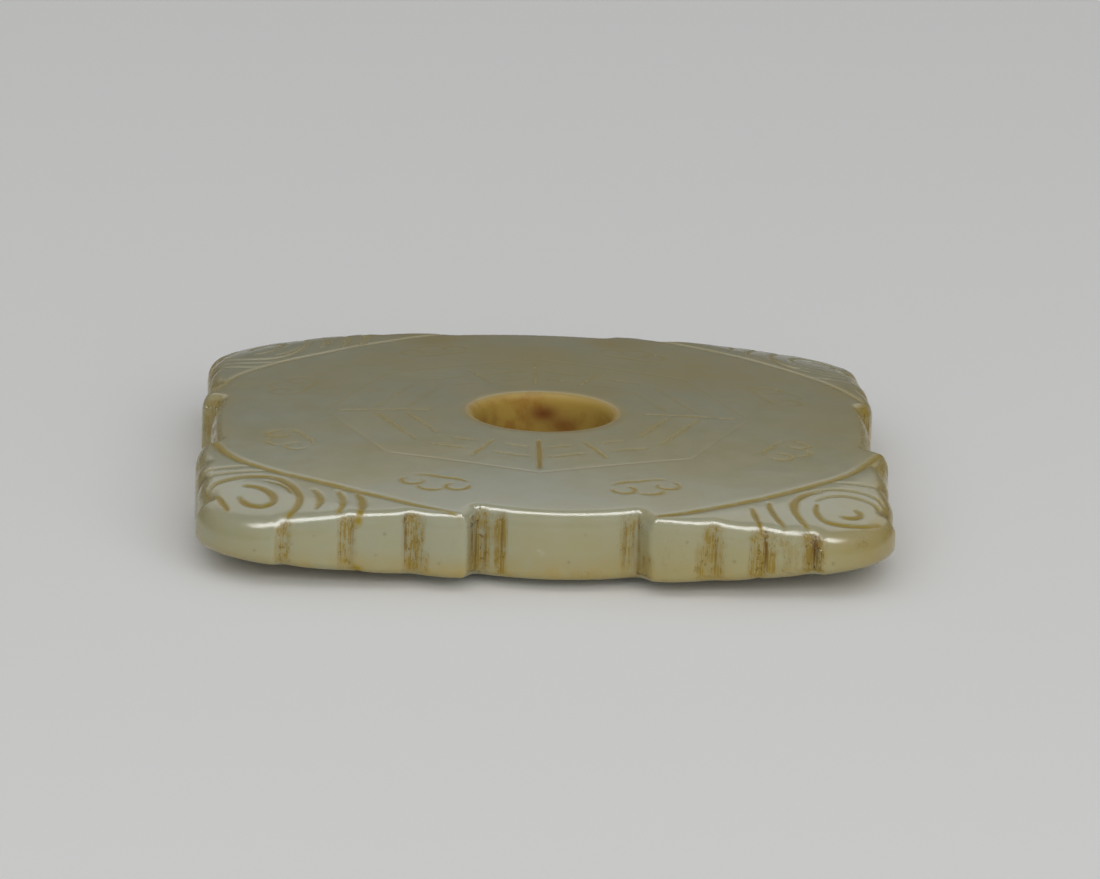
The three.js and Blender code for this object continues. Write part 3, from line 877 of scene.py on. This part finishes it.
def wall_tones(points, rng):
    """Streaks, dark marks and pale flecks of the side wall, with a painted glint among the flecks."""
    side, place = side_place(points)
    height = points[:, 2]
    streak, dark = np.zeros((2, len(points)))
    marks = [(0, *mark) for mark in FRONT_WALL_MARKS]
    for number in (1, 2, 3):
        for flute in FLUTE_PLACES:
            half = rng.uniform(*MARK_HALF_WIDTHS)
            middle = rng.uniform(*MARK_HEIGHTS)
            strength = rng.uniform(*MARK_STREAKS)
            mark_dark = max(0.0, rng.uniform(*MARK_DARKS))
            along = flute + rng.uniform(*MARK_STRAY)
            tall = rng.uniform(*MARK_HALF_HEIGHTS)
            marks.append((number, along, middle, half, tall, strength, mark_dark))
    for number, along, middle, half, tall, strength, mark_dark in marks:
        across = flat_shape if half > NARROW_MARK else bump_shape
        shape = across(place - along, half) * flat_shape(height - middle, tall) * (side == number)
        streak = np.maximum(streak, strength * shape)
        dark = np.maximum(dark, mark_dark * shape)
    wall = np.column_stack([place, height])
    specks = patches(wall, [(*speck, SPECK_DARK) for speck in WALL_SPECKS]) * (side == 0)
    flecks_and_glint = patches(wall, [(*fleck_and_glint, 1.0) for fleck_and_glint in WALL_FLECKS_AND_GLINT]) * (side == 0)
    return streak, np.maximum(dark, specks), flecks_and_glint


def patches(plan, spots):
    """Soft round patches, each with its place, radius and strength. The strongest counts."""
    total = np.zeros(len(plan))
    for x, y, radius, strength in spots:
        away = np.hypot(plan[:, 0] - x, plan[:, 1] - y)
        total = np.maximum(total, strength * bump_shape(away, radius))
    return total


def bore_spots(points):
    """Dark spots of the hole's wall."""
    turn = np.degrees(np.arctan2(points[:, 1], points[:, 0]))
    total = np.zeros(len(points))
    for middle, height, half, tall, strength in BORE_SPOTS:
        along = HOLE_RADIUS * np.radians((turn - middle + 180.0) % 360.0 - 180.0)
        shape = bump_shape(along, half) * bump_shape(points[:, 2] - height, tall)
        total = np.maximum(total, strength * shape)
    return total


def stone_mesh():
    """The carved stone's points, triangles and colour strengths."""
    rng = np.random.default_rng(SEED)
    maps = [carve_maps(strokes, rng) for strokes in (top_strokes(), underside_strokes())]
    section, place, triangles = first_grid()
    for _ in range(REFINE_PASSES):
        section, place, triangles, changed = split_long_edges(section, place, triangles, maps)
        if not changed:
            break
    points, distance = surface_points(section, place)
    stretch = np.floor(section).astype(int) % SECTION_COUNT
    plan = points[:, :2]
    normals = vertex_normals(points, triangles)

    height = points[:, 2]
    is_top = stretch <= TOP_RIM
    is_low = (stretch >= LOW_RIM) & (stretch <= HOLE_LOW)
    top_hold = is_top * smoothstep(normals[:, 2], *FACE_TILT)
    low_hold = is_low * smoothstep(-normals[:, 2], *FACE_TILT)
    tones = {}
    for kind in ("depth", *TONE_KINDS):
        top, low = (sampled(face[kind], plan) for face in maps)
        tones[kind] = top * top_hold + low * low_hold
    depth = tones.pop("depth") * smoothstep(distance, *UNCARVED_RIM)

    is_side = (stretch >= TOP_RIM) & (stretch <= LOW_RIM)
    side_hold = is_side * fading(np.abs(normals[:, 2]), *WALL_TILT)
    streak, wall_dark, fleck_and_glint = wall_tones(points, rng)
    edge_streak = by_side(points, EDGE_STREAKS) * fading(distance, *STREAKED_RIM)
    edge_streak *= LOW_STREAK_SHARE + (1.0 - LOW_STREAK_SHARE) * smoothstep(height, *STREAKED_HEIGHT)
    tones["streak"] = np.maximum(streak * side_hold, edge_streak)
    tones["dark"] = np.maximum(tones["dark"], wall_dark * side_hold)
    # The pale flecks of the wall, with the painted glint among them
    tones["pale"] = np.maximum(tones["pale"], fleck_and_glint * side_hold)
    depth = depth + MARK_DEPTH * (streak * STREAK_DEPTH_SHARE + wall_dark) * side_hold

    near_rim = fading(distance, *WARM_RIM) * (is_top | is_low | is_side)
    warm = np.maximum(by_side(points, RIM_TINTS) * near_rim, fading(height, *WARM_HEIGHT) * is_side)
    warm = np.maximum(warm, patches(plan, WARM_PATCHES) * is_top)
    corner = smoothstep(points[:, 0], *CORNER_RIGHT) * smoothstep(-points[:, 1], *CORNER_FRONT)
    tones["warm"] = np.maximum(warm, CORNER_WARMTH * corner * is_side)
    # Painted light: the top of the front wall is tinted paler and cooler, where the light falls on it
    painted_wall_light = smoothstep(height, *PAINTED_LIGHT_HEIGHT) * is_side * by_side(points, WALL_PAINTED_LIGHT)
    tones["cool_and_lit"] = np.maximum(patches(plan, COOL_PATCHES_AND_SHEEN) * is_top, painted_wall_light)

    tones["bore"] = fading(np.linalg.norm(plan, axis=1), *BORE_EDGE)
    tones["spot"] = bore_spots(points) * tones["bore"]
    tones["cut"] = np.clip(depth / FULL_CUT, 0.0, 1.0)
    points = points - normals * depth[:, None]
    return points, triangles, tones


# Materials

JADE_GREY = (0.36, 0.36, 0.238, 1.0)
JADE_YELLOW = (0.365, 0.335, 0.172, 1.0)
JADE_COOL_AND_LIT = (0.355, 0.375, 0.292, 1.0)
JADE_WARM = (0.365, 0.278, 0.08, 1.0)
PALE_AND_HIGHLIGHT = (0.44, 0.4, 0.27, 1.0)
GOLD = (0.33, 0.24, 0.022, 1.0)
OCHRE = (0.285, 0.19, 0.018, 1.0)
BROWN = (0.115, 0.052, 0.007, 1.0)
BORE_OCHRE = (0.44, 0.3, 0.065, 1.0)
BORE_BROWN = (0.32, 0.155, 0.024, 1.0)
BORE_DARK = (0.19, 0.066, 0.014, 1.0)
FLOOR_PALE = (0.92, 0.92, 0.91, 1.0)

# The roughness of the polished stone
POLISHED = 0.17


class Shader:
    """Adds nodes to a material or a world and links them."""

    def __init__(self, owner):
        owner.use_nodes = True
        self.tree = owner.node_tree
        self.tree.nodes.clear()

    def node(self, kind, inputs=None, **settings):
        node = self.tree.nodes.new("ShaderNode" + kind)
        for name, value in settings.items():
            setattr(node, name, value)
        for name, value in (inputs or {}).items():
            self.put(node.inputs[name], value)
        return node

    def put(self, socket, value):
        if isinstance(value, bpy.types.NodeSocket):
            self.tree.links.new(value, socket)
        else:
            socket.default_value = value

    def attribute(self, name):
        return self.node("Attribute", attribute_name=name).outputs["Fac"]

    def noise(self, scale, stretch=(1.0, 1.0, 1.0), detail=3.0, roughness=0.5, shift=0.0):
        """A noise over the object's coordinates, stretched by a scale along each axis."""
        source = self.node("TexCoord").outputs["Object"]
        source = self.node("Mapping", {"Vector": source, "Scale": stretch}).outputs["Vector"]
        if shift:
            inputs = {0: source, 1: (shift, shift, shift)}
            source = self.node("VectorMath", inputs, operation="ADD").outputs["Vector"]
        inputs = {"Vector": source, "Scale": scale, "Detail": detail, "Roughness": roughness}
        return self.node("TexNoise", inputs).outputs["Fac"]

    def ramp(self, value, low, high, to_low=0.0, to_high=1.0):
        inputs = {"Value": value, "From Min": low, "From Max": high, "To Min": to_low, "To Max": to_high}
        node = self.node("MapRange", inputs, interpolation_type="SMOOTHSTEP")
        return node.outputs["Result"]

    def maths(self, operation, first, second, clamp=False):
        node = self.node("Math", {0: first, 1: second}, operation=operation, use_clamp=clamp)
        return node.outputs["Value"]

    def most(self, first, *others):
        """The largest of several values."""
        for other in others:
            first = self.maths("MAXIMUM", first, other)
        return first

    def varied(self, name, *limits):
        """An attribute times a ramp, from 0 to 1."""
        return self.maths("MULTIPLY", self.attribute(name), self.ramp(*limits), True)

    def mix(self, share, first, second):
        """A blend of two colours."""
        node = self.node("Mix", data_type="RGBA")
        self.put(node.inputs[0], share)
        self.put(node.inputs[6], first)
        self.put(node.inputs[7], second)
        return node.outputs[2]


def jade_material():
    material = bpy.data.materials.new("polished_jade")
    sh = Shader(material)
    cloud = sh.noise(85.0, detail=4.0, roughness=0.55)
    mottle = sh.noise(420.0, detail=4.0, roughness=0.6, shift=0.31)
    patch = sh.noise(900.0, roughness=0.6, shift=0.73)
    grain = sh.noise(2600.0, detail=2.0, roughness=0.6, shift=0.17)
    streaks = sh.noise(1.0, stretch=(6500.0, 6500.0, 320.0), roughness=0.6)
    scratch = sh.noise(1.0, stretch=(8000.0, 8000.0, 1600.0), detail=2.0, shift=0.4)

    # The stone's colour, with its cooler and warmer places. The cooler tint is also painted light, at
    # the top of the front wall and on the top's front edge.
    colour = sh.mix(sh.ramp(cloud, 0.38, 0.64), JADE_GREY, JADE_YELLOW)
    colour = sh.mix(sh.varied("cool_and_lit", mottle, 0.25, 0.75, 0.6, 1.0), colour, JADE_COOL_AND_LIT)
    colour = sh.mix(sh.varied("warm", mottle, 0.3, 0.7, 0.4, 1.2), colour, JADE_WARM)
    colour = sh.mix(sh.ramp(mottle, 0.3, 0.7, 0.0, 0.14), colour, PALE_AND_HIGHLIGHT)

    # The lines of the carving. Their pale tint is also a painted highlight on the octagon's edges and at
    # the border's end, and a painted glint on the wall.
    colour = sh.mix(sh.varied("pale", patch, 0.3, 0.6, 0.35, 1.0), colour, PALE_AND_HIGHLIGHT)
    stain = sh.varied("stain", patch, 0.3, 0.62, 0.9, 1.6)
    colour = sh.mix(stain, colour, GOLD)

    # The stains of the wall and their streaks, and a trace of them everywhere
    line = sh.ramp(streaks, 0.38, 0.62)
    streak = sh.maths("ADD", sh.attribute("streak"), 0.04)
    streak = sh.maths("MULTIPLY", streak, sh.maths("ADD", sh.maths("MULTIPLY", line, 0.75), 0.55))
    streak = sh.maths("MULTIPLY", streak, sh.ramp(patch, 0.3, 0.65, 0.55, 1.3))
    streak = sh.ramp(streak, 0.1, 0.95, 0.0, 0.82)
    colour = sh.mix(streak, colour, OCHRE)

    # Dark marks, fine lines and specks
    worn_line = sh.varied("streak", scratch, 0.6, 0.7, 0.0, 0.75)
    speck = sh.varied("streak", grain, 0.62, 0.68, 0.0, 0.8)
    dark = sh.most(sh.varied("dark", streaks, 0.3, 0.6, 0.4, 1.1), worn_line, speck)
    colour = sh.mix(dark, colour, BROWN)

    # The wall of the hole
    bore = sh.mix(sh.ramp(mottle, 0.46, 0.72, 0.0, 0.8), BORE_OCHRE, BORE_BROWN)
    bore = sh.mix(sh.attribute("spot"), bore, BORE_DARK)
    colour = sh.mix(sh.attribute("bore"), colour, bore)

    # The polish is duller where the stone is cut or stained, and in the hole
    marked = sh.most(streak, dark)
    matte = sh.most(marked, stain, sh.attribute("bore"))
    cut_dullness = sh.ramp(sh.most(stain, sh.attribute("cut")), 0.05, 0.7, POLISHED, 0.3)
    mark_dullness = sh.ramp(marked, 0.1, 0.8, POLISHED, 0.5)
    roughness = sh.most(cut_dullness, mark_dullness, sh.maths("MULTIPLY", sh.attribute("bore"), 0.6))
    roughness = sh.maths("ADD", roughness, sh.ramp(mottle, 0.3, 0.7, 0.0, 0.05))

    height = sh.maths("ADD", sh.maths("MULTIPLY", grain, 0.2), sh.maths("MULTIPLY", mottle, 0.45))
    height = sh.maths("ADD", height, sh.maths("MULTIPLY", sh.maths("MULTIPLY", line, streak), 0.8))
    bump = sh.node("Bump", {"Height": height, "Strength": 0.2, "Distance": 0.00004})

    shader = sh.node("BsdfPrincipled", {
        "Base Color": colour,
        "Roughness": roughness,
        "Normal": bump.outputs["Normal"],
        "IOR": 1.5,
        "Specular IOR Level": sh.ramp(matte, 0.2, 0.9, 0.5, 0.2),
        "Subsurface Weight": sh.ramp(dark, 0.1, 0.8, 0.45, 0.1),
        "Subsurface Radius": (1.0, 1.0, 0.85),
        "Subsurface Scale": 0.0015,
    })
    sh.node("OutputMaterial", {"Surface": shader.outputs["BSDF"]})
    return material


def floor_material():
    material = bpy.data.materials.new("pale_floor")
    sh = Shader(material)
    shader = sh.node("BsdfPrincipled", {"Base Color": FLOOR_PALE, "Roughness": 0.85})
    sh.node("OutputMaterial", {"Surface": shader.outputs["BSDF"]})
    return material


# Objects

def mesh_object(name, points, triangles, material):
    mesh = bpy.data.meshes.new(name)
    mesh.from_pydata(points.tolist(), [], triangles.tolist())
    mesh.polygons.foreach_set("use_smooth", [True] * len(triangles))
    mesh.materials.append(material)
    mesh.update()
    item = bpy.data.objects.new(name, mesh)
    bpy.context.collection.objects.link(item)
    return item


points, triangles, tones = stone_mesh()
stone = mesh_object("jade_stone", points * MM, triangles, jade_material())
for kind, values in tones.items():
    layer = stone.data.attributes.new(kind, "FLOAT", "POINT")
    layer.data.foreach_set("value", values.astype(np.float32))
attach(stone, "root")
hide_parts("carved_stone")

FLOOR_HALF = 1.6
floor_points = np.array([(-1, -1, 0), (1, -1, 0), (1, 1, 0), (-1, 1, 0)]) * FLOOR_HALF
floor = mesh_object("floor", floor_points, np.array([(0, 1, 2), (0, 2, 3)]), floor_material())


# Light

def area_lamp(name, place, size, power):
    """A rectangular lamp that points at the stone."""
    light = bpy.data.lights.new(name, "AREA")
    light.shape = "RECTANGLE"
    light.size, light.size_y = size
    light.energy = power
    lamp = bpy.data.objects.new(name, light)
    lamp.location = place
    to_stone = Vector() - Vector(place)
    lamp.rotation_euler = to_stone.to_track_quat("-Z", "Y").to_euler()
    lamp.visible_camera = False
    bpy.context.collection.objects.link(lamp)
    return lamp


# The softbox lights the stone without a reflection in it
softbox = area_lamp("front_softbox", (0.15, -1.0, 0.42), (1.8, 0.7), 7.5)
softbox.visible_glossy = False
# These two panels show only as highlights on the polished stone
overhead = area_lamp("overhead_panel", (0.0, -0.13, 0.58), (0.95, 0.2), 7.1)
overhead.visible_diffuse = False
far_panel = area_lamp("far_panel", (0.0, 0.9, 0.58), (1.6, 0.36), 1.4)
far_panel.visible_diffuse = False

# The room is dim near the horizon and brighter above
ROOM_RISE = (0.25, 0.65)
ROOM_LIGHT = (0.12, 0.46)
world = bpy.data.worlds.new("studio")
room = Shader(world)
direction = room.node("TexCoord").outputs["Generated"]
rise = room.node("SeparateXYZ", {"Vector": direction}).outputs["Z"]
light = room.ramp(rise, *ROOM_RISE, *ROOM_LIGHT)
background = room.node("Background", {"Color": light})
room.node("OutputWorld", {"Surface": background.outputs["Background"]})
bpy.context.scene.world = world


# Camera: the photo's view, from a fit to the stone's outline. The pan and the aim are in metres.

SENSOR_WIDTH = 36.0
CLIP_NEAR = 0.05
CLIP_FAR = 20.0
PHOTO_WIDTH = 1100
ELEVATION = math.radians(15.39)
AZIMUTH = math.radians(-1.32)
ROLL = math.radians(1.73)
DISTANCE = 0.7177
FOCAL_PIXELS = 8202.0
PAN = (0.00069, -0.00249)
AIM_HEIGHT = 0.0079

back = Vector((math.sin(AZIMUTH) * math.cos(ELEVATION), -math.cos(AZIMUTH) * math.cos(ELEVATION),
               math.sin(ELEVATION)))
right = (-back).cross(Vector((0.0, 0.0, 1.0))).normalized()
up = right.cross(-back)
position = back * DISTANCE + right * PAN[0] + up * PAN[1] + Vector((0.0, 0.0, AIM_HEIGHT))
level_right = right * math.cos(ROLL) + up * math.sin(ROLL)
level_up = up * math.cos(ROLL) - right * math.sin(ROLL)

lens = bpy.data.cameras.new("camera")
lens.sensor_fit = "HORIZONTAL"
lens.sensor_width = SENSOR_WIDTH
lens.lens = FOCAL_PIXELS / PHOTO_WIDTH * lens.sensor_width
lens.clip_start = CLIP_NEAR
lens.clip_end = CLIP_FAR
camera = bpy.data.objects.new("camera", lens)
rotation = Matrix((level_right, level_up, back)).transposed().to_4x4()
camera.matrix_world = Matrix.Translation(position) @ rotation
bpy.context.collection.objects.link(camera)
bpy.context.scene.camera = camera
bpy.context.scene.view_settings.view_transform = "Standard"
